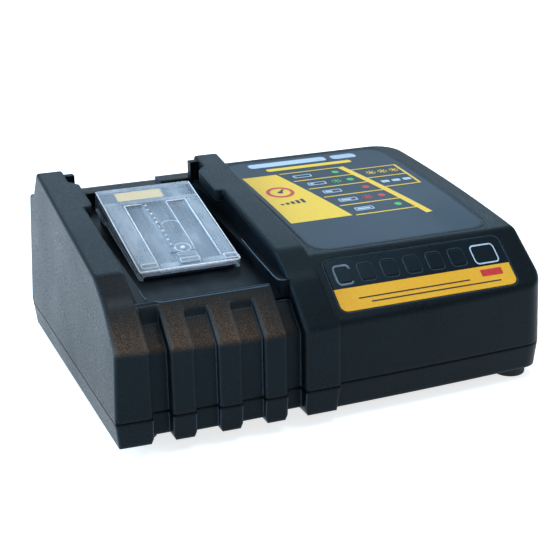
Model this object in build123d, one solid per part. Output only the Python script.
from build123d import *
import math
import os

# Battery charger for slide-on tool batteries.
# Origin: centre of the footprint, on the plane the feet stand on.
# +X to the right, +Y to the rear, +Z up.  Millimetres.

# ---------------------------------------------------------------- overall
WIDTH = 190.0
DEPTH = 150.0
FOOT_HEIGHT = 5.0
PARTING_Z = 15.6
PARTING_GAP = 0.3
SKIN = 2.5
BODY_BOTTOM_Z = FOOT_HEIGHT
HALF_WIDTH = WIDTH / 2
FRONT_Y = -DEPTH / 2
REAR_Y = DEPTH / 2
UPPER_Z = PARTING_Z + PARTING_GAP
FIT_GAP = 0.1
TOUCH_GAP = 0.3

# ---------------------------------------------------------------- plan shape
FRONT_BOW = 2.7
BOW_APEX_X = 1.8
BOTTOM_TUCK = 1.2
LABEL_FRONT_STEP = 2.6
LABEL_FRONT_CORNER_R = 9.0
LABEL_REAR_CORNER_R = 14.0
LEFT_REAR_CORNER_R = 3.0
EDGE_R = 1.2
RIB_EDGE_R = 0.8
BLOCK_EDGE_R = 1.0
BODY_EDGE_R = 3.2
BODY_BEND_R = 6.0
TONGUE_T = 1.3
TONGUE_HEIGHT = 2.4
TONGUE_GAP = 0.4

# ---------------------------------------------------------------- dock walls
DOCK_WIDTH = 62.0
LEFT_WALL_WIDTH = 14.5
RIGHT_WALL_WIDTH = 15.0
WALL_FRONT_Z = 42.6
WALL_KNEE_Y = FRONT_Y + 17.7
WALL_KNEE_Z = 58.2
WALL_KNEE_R = 24.0
WALL_CREASE_Y = FRONT_Y + 31.0
WALL_CREASE_Z = 65.2
WALL_CREASE_R = 10.0
HORN_TOP_Y = REAR_Y - 20.6
HORN_TOP_Z = 82.0
HORN_TOP_R = 2.0
HORN_HEEL_Y = REAR_Y - 12.6
HORN_HEEL_RISE = 0.6
HORN_HEEL_R = 3.0
REAR_SHELF_Z = 69.2
REAR_SHELF_Y = REAR_Y - 4.4
REAR_SHELF_FALL = 1.0
LEFT_WALL_TOP_INSET = 2.8
RIGHT_WALL_TOP_INSET = 3.8
LIP_REACH = 3.4
LIP_LOW_Y = REAR_Y - 59.5
LIP_HIGH_Y = REAR_Y - 37.5
LIP_THICKNESS = 5.0
LIP_CORNER_R = 2.2

WALL_L_OUT = -HALF_WIDTH
WALL_L_IN = WALL_L_OUT + LEFT_WALL_WIDTH
WALL_R_IN = WALL_L_IN + DOCK_WIDTH
WALL_R_OUT = WALL_R_IN + RIGHT_WALL_WIDTH
DOCK_X = (WALL_L_IN + WALL_R_IN) / 2

# ---------------------------------------------------------------- front ribs
RIB_COUNT = 3
RIB_WIDTH = 9.2
RIB_PITCH = 18.6
RECESS_DEPTH = 3.0
GROOVE_DEPTH = 5.6
KNEE_R = 2.4
WINDOW_REAR_Y = FRONT_Y + 13.2
CREST_Y = FRONT_Y + 16.7
CREST_LIP_T = 1.2
RAMP_HEIGHT = 2.2
RAMP_LENGTH = 6.0
RAMP_SPREAD = 0.9
RIB_BLOCK_WIDTH = (RIB_COUNT - 1) * RIB_PITCH + RIB_WIDTH
RIB_BLOCK_L = DOCK_X - RIB_BLOCK_WIDTH / 2
RIB_BLOCK_R = DOCK_X + RIB_BLOCK_WIDTH / 2

# ---------------------------------------------------------------- label body
BODY_FRONT_Z = 41.0
BODY_BEND_Y = FRONT_Y + 28.5
BODY_BEND_Z = 61.3
BODY_CROWN_Y = 10.0
BODY_CROWN_Z = 68.3
BODY_REAR_Y = REAR_Y - 3.8
BODY_REAR_Z = 72.6
BODY_SIDE_INSET = 2.6
BODY_SINK = 3.0
PASSAGE_Z = 60.0

# ---------------------------------------------------------------- dock floor
DOCK_FLOOR_Z = 52.2
DOCK_FLOOR_SLOPE = 0.09
DOCK_LINER_T = 2.0
DOCK_REAR_Y = REAR_Y - 17.0
SILL_STEP_X = 15.5
SILL_STEP_DEPTH = 9.0
SILL_STEP_H = 1.4
LEDGE_WIDTH = 4.6
LEDGE_SLOPE = 0.1
LEDGE_NOSE_R = 2.2

# ---------------------------------------------------------------- terminal block and cover
COVER_WIDTH = 43.0
COVER_LENGTH = 68.0
COVER_REAR_Y = REAR_Y - 40.0
COVER_SLOPE_DEG = 14.4
COVER_FRONT_RISE = 4.32
COVER_FRONT_Y = COVER_REAR_Y - COVER_LENGTH * math.cos(math.radians(COVER_SLOPE_DEG))
COVER_FRONT_Z = DOCK_FLOOR_Z + DOCK_FLOOR_SLOPE * (COVER_FRONT_Y - CREST_Y) + COVER_FRONT_RISE
COVER_REAR_Z = COVER_FRONT_Z + COVER_LENGTH * math.sin(math.radians(COVER_SLOPE_DEG))
COVER_T = 2.2
COVER_SKIRT_T = 1.5
COVER_SKIRT_REAR = 8.9
COVER_SKIRT_FRONT = 3.9
COVER_BAND = 16.0
COVER_SKIRT_STEP = 1.5
COVER_PANEL_DROP = 0.9
COVER_PANELS = ((-12.7, -5.0), (6.0, 14.8))
COVER_LIPS = ((-20.0, -12.9, 62.6, 66.0), (-3.0, 5.2, 58.0, 65.0), (15.0, 21.0, 64.0, 67.5))
COVER_LIP_H = 0.8
COVER_LIP_R = 0.9
COVER_LIP_ROOT = 0.4
COVER_RIDGE_END = 56.0
COVER_CORNER_R = 1.2
COVER_RIM_R = 0.5
COVER_LABEL_W = (-14.0, 6.5)
COVER_LABEL_S = (4.3, 11.3)
COVER_LABEL_T = 0.3
COVER_LABEL_GAP = 0.2
COVER_GAP = 0.35
BLOCK_WIDTH = 38.6
BLOCK_CHAMFER = 0.6
BLOCK_FRONT_S = 66.0
BLOCK_REAR_S = 1.5
TERMINAL_SLOT_S = 7.5
TERMINAL_SLOT_W = 3.6
TERMINAL_SLOT_DEPTH = 4.4
TERMINAL_SLOT_LENGTH = 30.0
TERMINAL_T = 0.8
TERMINAL_SINK = 0.8
POWER_TERMINAL_X = 12.5
SIGNAL_TERMINAL_PITCH = 4.4
SIGNAL_TERMINAL_COUNT = 3
TAB_WIDTH = 4.0
TAB_DROP = 4.0
BLOCK_DROP = 17.0
TAB_CLEAR = 0.3
RAIL_DEPTH = 1.5
RAIL_HEIGHT = 1.0
RAIL_GAP = 0.3
RAIL_DROP = 4.2
RAIL_END_S = 36.0
RAIL_STOP_GAP = 0.05
RAIL_MOUTH = 5.0
POST_REACH = 4.0
POST_Y = (REAR_Y - 27.0, REAR_Y - 23.0)
POST_Z = (72.0, 80.5)

# ---------------------------------------------------------------- labels and indicators
LABEL_T = 0.4
LABEL_FLOAT = 0.05
LABEL_POCKET = 0.5
LABEL_GAP = 0.5
LABEL_LEFT_X = WALL_R_OUT + 2.3
LABEL_RIGHT_X = HALF_WIDTH - 12.8
LABEL_FRONT_Y = FRONT_Y + 31.4
LABEL_BACK_Y = REAR_Y - 9.0
LABEL_CORNER_R = 9.0
FILM_LEFT_X = WALL_R_OUT + 3.5
FILM_RIGHT_X = HALF_WIDTH - 14.0
FILM_TOP_Y = FRONT_Y + 25.8
FILM_LOW_Y = FRONT_Y + 6.6
FILM_T = 0.4
FILM_CORNER_R = 3.0
FILM_GAP = 0.5
LED_COUNT = 6
LED_PITCH = 10.5
LED_FIRST_X = FILM_LEFT_X + 6.4
LED_Y = FRONT_Y + 19.8
LED_WINDOW = 7.0
LED_WINDOW_R = 1.4
LED_PAD_H = 0.25
STRIP_TOP_Y = FRONT_Y + 15.0
GUIDE_T = 1.5
GUIDE_MARGIN = 7.0
GUIDE_RIM = 1.0
GUIDE_FOOT_W = 2.0
GUIDE_ROOT = 0.2
LED_SIZE = 3.2
LED_H = 1.4
LED_CHAMFER = 0.3
INDICATOR_BOARD_T = 1.2
INDICATOR_BOARD_RIM = 2.0

# ---------------------------------------------------------------- fixings
BOSS_R = 3.6
LOWER_BOSS_R = 4.4
BOSS_FRONT_Y = FRONT_Y + 37.0
BOSS_REAR_Y = REAR_Y - 31.0
BOSS_TO_FRONT = 12.5
SCREW_R = 1.5
SCREW_HEAD_R = 2.9
SCREW_HEAD_H = 2.2
SCREW_HEAD_ROUND = 0.6
SCREW_SOCKET_R = 1.3
SCREW_SOCKET_H = 1.0
SCREW_CLEAR_R = 1.8
SCREW_SEAT_Z = 10.0
SCREW_LENGTH = 18.0
PILOT_GAP = 0.05
FOOT_R = 6.8
FOOT_EMBED = 1.2
FOOT_CLEAR = 0.1
FOOT_EDGE_R = 0.8
FOOT_INSET_X = 11.0
FOOT_FRONT_Y = FRONT_Y + 15.4
FOOT_REAR_Y = REAR_Y - 15.0
LEFT_FOOT_SHIFT = 7.0

# ---------------------------------------------------------------- fan and vents
FAN_SIZE = 40.0
FAN_T = 15.0
FAN_RIM = 1.4
FAN_CORNER_R = 3.0
FAN_BORE_R = FAN_SIZE / 2 - FAN_RIM
FAN_HUB_R = 9.0
FAN_TIP_GAP = 1.0
FAN_BLADE_R = FAN_BORE_R - FAN_TIP_GAP
FAN_BLADES = 7
FAN_BLADE_T = 1.2
FAN_BLADE_CHORD = 10.5
FAN_BLADE_PITCH_DEG = 32.0
FAN_STRUTS = 3
FAN_STRUT_W = 2.4
FAN_STRUT_START_DEG = 30.0
FAN_SHAFT_R = 1.5
FAN_HUB_SETBACK = 1.5
FAN_HUB_EDGE_R = 1.0
FAN_BEARING_GAP = 0.05
FAN_Z = 37.0
FAN_HOLE_INSET = 4.0
FAN_STANDOFF = 3.0
FAN_SCREW_R = 1.25
FAN_SCREW_HEAD_R = 2.375
FAN_SCREW_HEAD_H = 1.8
FAN_SCREW_END_GAP = 0.6
FAN_WALL = 3.2
FAN_BOSS_R = 2.8
VENT_SLOT_W = 2.6
VENT_SLOT_PITCH = 5.2
VENT_HALF_H = 13.0
VENT_DEPTH = 12.0
SIDE_VENT_COUNT = 9
SIDE_VENT_FIRST_Y = -22.0
SIDE_VENT_Z = 22.0
SIDE_VENT_H = 12.0
BASE_VENT_COUNT = 8
BASE_VENT_FIRST_Y = -20.0
BASE_VENT_X = HALF_WIDTH - 59.0
BASE_VENT_LENGTH = 40.0

# ---------------------------------------------------------------- mains inlet
INLET_X = HALF_WIDTH - 37.0
INLET_Z = 28.0
INLET_SEAT_Y = REAR_Y - 2.0
INLET_FLANGE_W = 27.0
INLET_FLANGE_H = 17.0
INLET_FLANGE_T = 1.4
INLET_FLANGE_R = 2.0
INLET_BODY_W = 22.0
INLET_BODY_H = 12.6
INLET_BODY_L = 14.5
INLET_RECESS_R = 4.7
INLET_RECESS_DEPTH = 12.0
INLET_PIN_PITCH = 6.6
INLET_PIN_R = 1.18
INLET_PIN_GAP = 0.01
INLET_PIN_TAIL = 5.0
INLET_PIN_SETBACK = 2.0
INLET_PIN_TIP_R = 0.6

# ---------------------------------------------------------------- main board
BOARD_T = 1.6
BOARD_Z = 17.0
BOARD_CORNER_R = 2.0
BOARD_LEFT_X = WALL_R_OUT - 8.5
BOARD_RIGHT_X = HALF_WIDTH - 15.0
BOARD_FRONT_Y = FRONT_Y + 23.0
BOARD_REAR_Y = REAR_Y - 25.0
BOARD_WIDTH = BOARD_RIGHT_X - BOARD_LEFT_X
BOARD_DEPTH = BOARD_REAR_Y - BOARD_FRONT_Y
POST_R = 3.2
BOARD_SCREW_R = 1.25
BOARD_SCREW_LENGTH = 7.0
CROSS_SLOT_W = 0.6

# ---------------------------------------------------------------- transformer
TRANSFORMER_AT = (BOARD_LEFT_X + 0.413 * BOARD_WIDTH, BOARD_FRONT_Y + 0.4902 * BOARD_DEPTH)
CORE_LEG = 0.1304 * BOARD_WIDTH
CORE_WINDOW = 0.0761 * BOARD_WIDTH
CORE_DEPTH = 18.0
CORE_FRONT_Y = TRANSFORMER_AT[1] - CORE_DEPTH / 2
COIL_FRONT_Y = CORE_FRONT_Y - CORE_WINDOW
CORE_HEIGHT = 32.0
CORE_STANDOFF = 3.0
COIL_CORNER_R = 3.0
BOBBIN_FOOT_W = 4.0
BOBBIN_PIN_COUNT = 5
BOBBIN_PIN_PITCH = 4.0
LEG_R = 0.5

# ---------------------------------------------------------------- capacitors and choke
CAN_EDGE_R = 0.8
CAN_GROOVE_Z = 2.5
CAN_GROOVE_R = 0.9
CAN_GROOVE_OUT = 0.5
CAN_SCORE_W = 0.4
CAN_SCORE_REACH = 0.6
INPUT_CAP_AT = (BOARD_LEFT_X + 0.8478 * BOARD_WIDTH, BOARD_FRONT_Y + 0.3922 * BOARD_DEPTH)
INPUT_CAP_R = 0.0978 * BOARD_WIDTH
INPUT_CAP_H = 30.0
OUTPUT_CAP_PITCH = 12.0
OUTPUT_CAP_GAP = 2.0
OUTPUT_CAP_R = (OUTPUT_CAP_PITCH - OUTPUT_CAP_GAP) / 2
OUTPUT_CAP_H = 20.0
OUTPUT_CAP_COUNT = 3
CHOKE_AT = (BOARD_LEFT_X + 0.8261 * BOARD_WIDTH, BOARD_FRONT_Y + 0.6863 * BOARD_DEPTH)
CHOKE_R = 8.0
CHOKE_BORE_R = 4.2
CHOKE_T = 7.0
CHOKE_EDGE_R = 1.0
CHOKE_AXIS_Z = 11.0
CHOKE_TURNS = 6
CHOKE_FIRST_TURN_DEG = 30.0
CHOKE_TURN_STEP_DEG = 21.0
CHOKE_WIRE_R = 0.45
CHOKE_WIRE_LENGTH = 8.4
CHOKE_WIRE_INNER_R = 3.8
CHOKE_WIRE_OUTER_R = 8.3
CHOKE_BASE_DEPTH = 9.0
CHOKE_BASE_H = 3.4

# ---------------------------------------------------------------- other devices
BRIDGE_AT = (BOARD_LEFT_X + 0.7826 * BOARD_WIDTH, BOARD_FRONT_Y + 0.549 * BOARD_DEPTH)
BRIDGE_WIDTH = 20.0
BRIDGE_T = 4.4
BRIDGE_Z = (3.0, 17.0)
BRIDGE_CHAMFER = 1.5
BRIDGE_LEGS = 4
BRIDGE_LEG_PITCH = 5.0
BRIDGE_LEG_H = 4.0
FUSE_AT = (BOARD_LEFT_X + 0.6522 * BOARD_WIDTH, BOARD_FRONT_Y + 0.8627 * BOARD_DEPTH)
FUSE_AXIS_Z = 4.2
FUSE_LENGTH = 20.0
FUSE_R = 2.4
FUSE_CAP_R = 2.7
FUSE_CAP_L = 4.4
FUSE_CAP_AT = 8.0
FUSE_CLIP_W = 6.0
FUSE_CLIP_L = 3.2
SINK_GAP = 0.5
PRIMARY_SINK_X = BOARD_LEFT_X + 0.6413 * BOARD_WIDTH
PRIMARY_SINK_L = 0.3529 * BOARD_DEPTH
PRIMARY_SINK_H = 30.0
PRIMARY_SINK_AT = (PRIMARY_SINK_X, CORE_FRONT_Y - SINK_GAP - PRIMARY_SINK_L / 2)
PRIMARY_SINK_SIZE = (PRIMARY_SINK_L, PRIMARY_SINK_H)
SECONDARY_SINK_X = BOARD_LEFT_X + 0.2609 * BOARD_WIDTH
SECONDARY_SINK_L = 0.3137 * BOARD_DEPTH
SECONDARY_SINK_H = 26.0
SECONDARY_SINK_AT = (SECONDARY_SINK_X, COIL_FRONT_Y - SINK_GAP - SECONDARY_SINK_L / 2)
SECONDARY_SINK_SIZE = (SECONDARY_SINK_L, SECONDARY_SINK_H)
SINK_PLATE_T = 3.0
SINK_FIN_PITCH = 7.0
SINK_FIN_REACH = 0.086 * BOARD_WIDTH
SINK_FIN_T = 1.4
SINK_FIN_Z = 2.0
SINK_HOLE_L = 12.0
DEVICE_HOLE_Z = 17.0
DEVICE_WIDTH = 10.0
DEVICE_TAB_T = 1.3
DEVICE_TAB_Z = (5.0, 20.0)
DEVICE_BODY_T = 4.4
DEVICE_BODY_Z = (5.0, 14.0)
DEVICE_CAP_GAP = 0.2
OUTPUT_CAP_X = SECONDARY_SINK_X - SINK_PLATE_T / 2 - DEVICE_BODY_T - DEVICE_CAP_GAP - OUTPUT_CAP_R
OUTPUT_CAP_AT = (OUTPUT_CAP_X, BOARD_FRONT_Y + 0.1373 * BOARD_DEPTH)
DEVICE_LEGS = 3
DEVICE_LEG_PITCH = 2.54
DEVICE_LEG_R = 0.4
DEVICE_LEG_X = 2.5
DEVICE_LEG_H = 6.0
SINK_SCREW_LENGTH = 6.0
SINK_SCREW_HEAD_R = 2.4
SINK_SCREW_HEAD_H = 1.8
SINK_SCREW_CHAMFER = 0.3
RELAY_AT = (BOARD_LEFT_X + 0.1957 * BOARD_WIDTH, BOARD_FRONT_Y + 0.8431 * BOARD_DEPTH)
RELAY_H = 15.0
RELAY_SIZE = (0.1957 * BOARD_WIDTH, 0.1373 * BOARD_DEPTH, RELAY_H)
BUZZER_AT = (BOARD_LEFT_X + 0.4348 * BOARD_WIDTH, BOARD_FRONT_Y + 0.8824 * BOARD_DEPTH)
BUZZER_R = 0.0652 * BOARD_WIDTH
BUZZER_H = 8.0
BUZZER_HOLE_R = 1.2
DEVICE_EDGE_R = 0.8

# ---------------------------------------------------------------- leads
OUTPUT_LEAD_R = 1.3
OUTPUT_LEAD_Y = (-8.0, 2.0)
OUTPUT_LEAD_DROP = 10.0
OUTPUT_LEAD_SWAY = 3.0
OUTPUT_LEAD_BENDS = ((WALL_R_IN - 11.5, 32.0), (BOARD_LEFT_X + 2.0, 27.0))
OUTPUT_LEAD_END = 5.0
LEAD_START_GAP = 1.0
MAINS_LEAD_R = 1.0
MAINS_LEAD_BENDS = ((4.0, 1.5), 7.0)
MAINS_LEAD_SPREAD = 1.5

TOP = 130.0
FAR = 140.0


# ---------------------------------------------------------------- helpers
def bow_y(x, inset=0.0):
    """Front face of the body at x: an arc whose middle stands furthest forward."""
    radius = (HALF_WIDTH ** 2 + FRONT_BOW ** 2) / (2 * FRONT_BOW)
    return FRONT_Y + inset + radius - math.sqrt(radius ** 2 - (x - BOW_APEX_X) ** 2)


def yz_prism(face, x_low, x_high):
    """Extrude a face drawn in (Y, Z) between two X positions."""
    return extrude(Plane.YZ.offset(x_low) * face, amount=x_high - x_low, dir=(1, 0, 0))


def xy_prism(face, z_low, z_high):
    """Extrude a face drawn in (X, Y) between two heights."""
    return extrude(Plane.XY.offset(z_low) * face, amount=z_high - z_low, dir=(0, 0, 1))


def xz_prism(face, y_low, y_high):
    """Extrude a face drawn in (X, Z) between two Y positions."""
    return extrude(Plane.XZ.offset(-y_high) * face, amount=y_high - y_low, dir=(0, -1, 0))


def box_between(x, y, z):
    """Box from three (low, high) pairs."""
    size = (x[1] - x[0], y[1] - y[0], z[1] - z[0])
    centre = ((x[0] + x[1]) / 2, (y[0] + y[1]) / 2, (z[0] + z[1]) / 2)
    return Pos(*centre) * Box(*size)


def upright(x, y, z_low, z_high, radius):
    """Vertical cylinder."""
    return Pos(x, y, (z_low + z_high) / 2) * Cylinder(radius, z_high - z_low)


def along_y(x, z, y_low, y_high, radius):
    """Cylinder along Y."""
    return Pos(x, (y_low + y_high) / 2, z) * Rot(90, 0, 0) * Cylinder(radius, y_high - y_low)


def rounded(points, radii):
    """Closed face with a corner radius at each point."""
    return make_face(FilletPolyline(*points, radius=radii, close=True))


def plan_front(inset, x_low=-FAR, x_high=FAR, rear=FAR):
    """Plan of everything behind the bowed front, moved back by inset."""
    low = max(x_low, -HALF_WIDTH - 2)
    high = min(x_high, HALF_WIDTH + 2)
    middle = (low + high) / 2
    start = (low, bow_y(low, inset))
    end = (high, bow_y(high, inset))
    arc = ThreePointArc(start, (middle, bow_y(middle, inset)), end)
    sides = Polyline(end, (high, rear), (low, rear), start)
    return make_face(arc + sides)


# ---------------------------------------------------------------- outer forms
WORLD = (-FAR, FAR)


def upper_half():
    """Everything above the parting line."""
    return box_between(WORLD, WORLD, (UPPER_Z, TOP))


def inset_face(face, inset):
    """The face moved in by inset, or itself where inset is zero."""
    if inset == 0:
        return face
    return offset(face, amount=-inset)


def wall_profile():
    """Side view of a dock wall: steep front slope, long upper slope, horn, rear shelf."""
    front = FRONT_Y - 10
    points = [
        (front, BODY_BOTTOM_Z),
        (front, front_slope_z(front)),
        (WALL_KNEE_Y, WALL_KNEE_Z),
        (WALL_CREASE_Y, WALL_CREASE_Z),
        (HORN_TOP_Y, HORN_TOP_Z),
        (HORN_HEEL_Y, REAR_SHELF_Z + HORN_HEEL_RISE),
        (REAR_SHELF_Y, REAR_SHELF_Z - REAR_SHELF_FALL),
        (REAR_Y, PARTING_Z),
        (REAR_Y, BODY_BOTTOM_Z),
    ]
    radii = [0, 0, WALL_KNEE_R, WALL_CREASE_R, HORN_TOP_R, HORN_HEEL_R, HORN_TOP_R, 0, 0]
    return rounded(points, radii)


def wall_top_z(y):
    """Height of the wall's upper slope at y."""
    slope = (HORN_TOP_Z - WALL_CREASE_Z) / (HORN_TOP_Y - WALL_CREASE_Y)
    return WALL_CREASE_Z + slope * (y - WALL_CREASE_Y)


def front_slope():
    """Rise over run of the steep front slope, shared by walls and ribs."""
    return (WALL_KNEE_Z - WALL_FRONT_Z) / (WALL_KNEE_Y - FRONT_Y - FRONT_BOW / 2)


def front_slope_z(y, depth=0.0):
    """Height of the front slope at y, sunk by depth square to the slope."""
    slope = front_slope()
    return WALL_KNEE_Z - slope * (WALL_KNEE_Y - y) - depth * math.hypot(1.0, slope)


def dock_floor_z(y):
    """Height of the dock floor at y."""
    return DOCK_FLOOR_Z + DOCK_FLOOR_SLOPE * (y - CREST_Y)


def left_wall(inset):
    """Left dock wall, leaning in on its outer side; inset gives the hollow inside it."""
    outer = WALL_L_OUT + inset
    inner = WALL_L_IN - inset
    section = make_face(Polyline(
        (outer, 0), (outer, PARTING_Z), (outer + LEFT_WALL_TOP_INSET, HORN_TOP_Z),
        (outer + LEFT_WALL_TOP_INSET, TOP), (inner, TOP), (inner, 0), (outer, 0)))
    side = yz_prism(inset_face(wall_profile(), inset), -FAR, 0)
    plan = xy_prism(plan_front(inset, x_high=0), 0, TOP)
    return side & xz_prism(section, -FAR, FAR) & plan & upper_half()


def right_wall(inset):
    """Right dock wall; above the label body its outer side leans inwards."""
    inner = WALL_R_IN + inset
    outer = WALL_R_OUT - inset
    outer_top = outer - RIGHT_WALL_TOP_INSET
    section = make_face(Polyline(
        (inner, 0), (outer, 0), (outer, WALL_FRONT_Z), (outer_top, HORN_TOP_Z),
        (outer_top, TOP), (inner, TOP), (inner, 0)))
    side = yz_prism(inset_face(wall_profile(), inset), -FAR, FAR)
    plan = xy_prism(plan_front(inset), 0, TOP)
    return side & xz_prism(section, -FAR, FAR) & plan & upper_half()


def is_cross_edge(edge):
    """True for an edge that runs mostly along X."""
    return edge.bounding_box().size.X > RIB_WIDTH / 2


def soften_wall(wall):
    """Round the outside edges of a wall."""
    edges = []
    for edge in wall.edges():
        middle = edge.center()
        low = edge.bounding_box().min.Z
        crossing = is_cross_edge(edge) and middle.Y > FRONT_Y + 5
        rear_post = middle.Y > REAR_SHELF_Y and low < UPPER_Z + 1
        foot = edge.bounding_box().max.Z < UPPER_Z + 1
        if crossing or rear_post or foot:
            continue
        edges.append(edge)
    return fillet(edges, EDGE_R)


def lip(side):
    """Overhanging lip on the inner side of a wall; side is -1 left, +1 right."""
    wall_x = DOCK_X + side * DOCK_WIDTH / 2
    tip_x = wall_x - side * LIP_REACH
    root_x = wall_x + side * EDGE_R * 2
    low_y = LIP_LOW_Y
    high_y = LIP_HIGH_Y
    plan = make_face(Polyline(
        (root_x, low_y), (tip_x, low_y), (tip_x, high_y), (wall_x, high_y + LIP_REACH),
        (root_x, high_y + LIP_REACH), (root_x, low_y)))
    tip = [v for v in plan.vertices() if abs(v.X - tip_x) < 0.01 and v.Y < low_y + 0.01]
    plan = fillet(tip, LIP_CORNER_R)
    top = make_face(Polyline(
        (low_y - 2, wall_top_z(low_y - 2)), (high_y + 6, wall_top_z(high_y + 6)),
        (high_y + 6, wall_top_z(high_y + 6) - LIP_THICKNESS),
        (low_y - 2, wall_top_z(low_y - 2) - LIP_THICKNESS),
        (low_y - 2, wall_top_z(low_y - 2))))
    low_x, high_x = sorted((root_x, tip_x))
    return xy_prism(plan, 0, TOP) & yz_prism(top, low_x, high_x)


def front_block(x_low, x_high, depth, knee_r=KNEE_R):
    """Part of the ribbed front between two X positions, set back by depth, with a round knee."""
    front = FRONT_Y - 10
    face = make_face(Polyline(
        (front, BODY_BOTTOM_Z), (front, front_slope_z(front, depth)),
        (CREST_Y, front_slope_z(CREST_Y, depth)), (CREST_Y, BODY_BOTTOM_Z),
        (front, BODY_BOTTOM_Z)))
    block = yz_prism(face, x_low, x_high) & xy_prism(plan_front(depth), 0, TOP) & upper_half()
    knee = [
        e for e in block.edges()
        if e.bounding_box().min.Z > UPPER_Z + 1 and e.center().Y < CREST_Y - KNEE_R
        and e.bounding_box().size.X > (x_high - x_low) / 2]
    return fillet(knee, knee_r)


def rib_sides():
    """X positions of the two sides of each recess between ribs."""
    sides = []
    for index in range(RIB_COUNT - 1):
        low = RIB_BLOCK_L + RIB_WIDTH + index * RIB_PITCH
        sides.append((low, low + RIB_PITCH - RIB_WIDTH))
    return sides


def rib_block():
    """Block of front ribs with the recesses between them."""
    block = front_block(RIB_BLOCK_L, RIB_BLOCK_R, 0)
    outside = [
        edge for edge in block.edges()
        if edge.bounding_box().max.Z > UPPER_Z + 1 and edge.center().Y < CREST_Y - FIT_GAP]
    block = fillet(outside, BLOCK_EDGE_R)
    floor = front_block(RIB_BLOCK_L - 1, RIB_BLOCK_R + 1, RECESS_DEPTH)
    for low, high in rib_sides():
        window = box_between((low, high), (-FAR, WINDOW_REAR_Y), (0, TOP))
        block = block - (window - floor)
    rims = []
    for edge in block.edges():
        middle = edge.center()
        on_front = middle.Y - bow_y(middle.X) < 0.3
        on_slope = middle.Z - front_slope_z(middle.Y) > -0.5
        beside = min(abs(middle.X - x) for pair in rib_sides() for x in pair) < 0.02
        rear = abs(middle.Y - WINDOW_REAR_Y) < 0.02
        above = edge.bounding_box().max.Z > UPPER_Z + 1
        if (on_front or on_slope) and (beside or rear) and above:
            rims.append(edge)
    return fillet(rims, RIB_EDGE_R)


def label_profile(drop=0.0):
    """Side view of the label body: front slope, crowned top, leaning rear."""
    slope = body_slope()
    front = FRONT_Y - 10
    front_z = BODY_BEND_Z - slope * (BODY_BEND_Y - front)
    crown = ThreePointArc(
        (BODY_BEND_Y, BODY_BEND_Z - drop), (BODY_CROWN_Y, BODY_CROWN_Z - drop),
        (BODY_REAR_Y, BODY_REAR_Z - drop))
    lines = Polyline(
        (BODY_REAR_Y, BODY_REAR_Z - drop), (REAR_Y, PARTING_Z), (REAR_Y, 0), (front, 0),
        (front, front_z - drop), (BODY_BEND_Y, BODY_BEND_Z - drop))
    return make_face(crown + lines)


def body_slope():
    """Rise over run of the label body's front slope."""
    return (BODY_BEND_Z - BODY_FRONT_Z) / (BODY_BEND_Y - FRONT_Y - LABEL_FRONT_STEP)


def label_body(left, inset):
    """Label body from x = left to the right side."""
    right = HALF_WIDTH - inset
    section = make_face(Polyline(
        (left, 0), (right, 0), (right, PARTING_Z), (right - BODY_SIDE_INSET, BODY_REAR_Z),
        (right - BODY_SIDE_INSET, TOP), (left, TOP), (left, 0)))
    side = yz_prism(inset_face(label_profile(), inset), left, FAR)
    plan = xy_prism(plan_front(LABEL_FRONT_STEP + inset, x_low=left), 0, TOP)
    return side & xz_prism(section, -FAR, FAR) & plan & upper_half()


def round_posts(body, inset):
    """Round the two upright right-hand corners of the label body or of its hollow."""
    far_x = HALF_WIDTH - BODY_SIDE_INSET * 2 - inset
    rear_post = [
        e for e in body.edges()
        if e.center().X > far_x and e.center().Y > 0
        and e.bounding_box().size.Z > BODY_FRONT_Z - PARTING_Z]
    body = fillet(rear_post, LABEL_REAR_CORNER_R - inset)
    front_post = [
        e for e in body.edges()
        if e.center().X > far_x and e.center().Y < 0 and e.center().Z < BODY_FRONT_Z - inset
        and e.bounding_box().size.Z > PARTING_Z]
    return fillet(front_post, LABEL_FRONT_CORNER_R - inset)


def rounded_label_body():
    """Outside of the label body with its corners, shoulders and bend rounded."""
    left = WALL_R_OUT - BODY_SINK
    body = round_posts(label_body(left, 0), 0)
    bend = [
        e for e in body.edges()
        if abs(e.center().Y - BODY_BEND_Y) < 0.1 and abs(e.center().Z - BODY_BEND_Z) < 0.1]
    body = fillet(bend, BODY_BEND_R)
    rim = [
        e for e in body.edges()
        if e.bounding_box().min.Z > UPPER_Z + 1 and e.center().X > left + 0.5
        and not (abs(e.center().Y - BODY_BEND_Y) < 6 and is_cross_edge(e))]
    return fillet(rim, BODY_EDGE_R)


def sill(inset):
    """Low rear wall that closes the dock behind the floor."""
    low = WALL_L_IN - 1 - inset
    high = WALL_R_IN + 1 + inset
    face = inset_face(wall_profile(), inset)
    face = face & Pos(FAR / 2 + DOCK_REAR_Y, 0) * Rectangle(FAR, 2 * (REAR_SHELF_Z - inset))
    return yz_prism(face, low, high) & upper_half()


def footprint():
    """Footprint at the parting line, without the recesses of the dock's front."""
    face = plan_front(0, WALL_L_OUT, WALL_R_OUT, REAR_Y)
    face = face + plan_front(LABEL_FRONT_STEP, WALL_R_OUT, HALF_WIDTH, REAR_Y)
    right = [v for v in face.vertices() if v.X > HALF_WIDTH - 0.01]
    face = fillet([v for v in right if v.Y > 0], LABEL_REAR_CORNER_R)
    right = [v for v in face.vertices() if v.X > HALF_WIDTH - 0.01 and v.Y < 0]
    face = fillet(right, LABEL_FRONT_CORNER_R)
    left = [v for v in face.vertices() if v.X < 0.01 - HALF_WIDTH and v.Y > 0]
    return fillet(left, LEFT_REAR_CORNER_R)


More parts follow.
